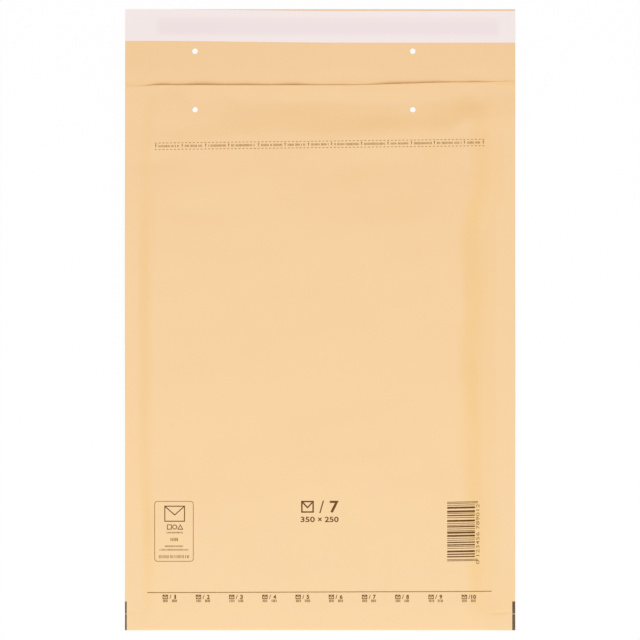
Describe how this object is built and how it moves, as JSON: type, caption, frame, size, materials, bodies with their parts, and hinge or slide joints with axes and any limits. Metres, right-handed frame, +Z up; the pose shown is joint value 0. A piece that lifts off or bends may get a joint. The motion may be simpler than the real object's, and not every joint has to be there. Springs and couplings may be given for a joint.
{
  "type": "padded envelope",
  "caption": "Flat kraft-paper mailing envelope lined with bubble film, lying open: welded side seams, folded bottom, flap with a glue band under a release liner, punched clip holes.",
  "frame": {"origin": "on the ground under the middle of the open envelope's outline", "axes": "+X across the envelope to the right as seen from the front, +Y from the bottom fold to the open flap, +Z up out of the printed front"},
  "size_m": [0.25, 0.398, 0.0072],
  "materials": {
    "kraft_paper": "matte, light golden-brown kraft",
    "bubble_film": "clear, glossy bubble film, seen as pale grey",
    "glue": "tacky, pale amber hot-melt band",
    "liner_paper": "smooth silicone-coated white paper"
  },
  "bodies": {
    "root": {"kraft_cover": "kraft_paper", "bubble_lining": "bubble_film", "flap_glue": "glue", "release_liner": "liner_paper"}
  },
  "joints": []
}
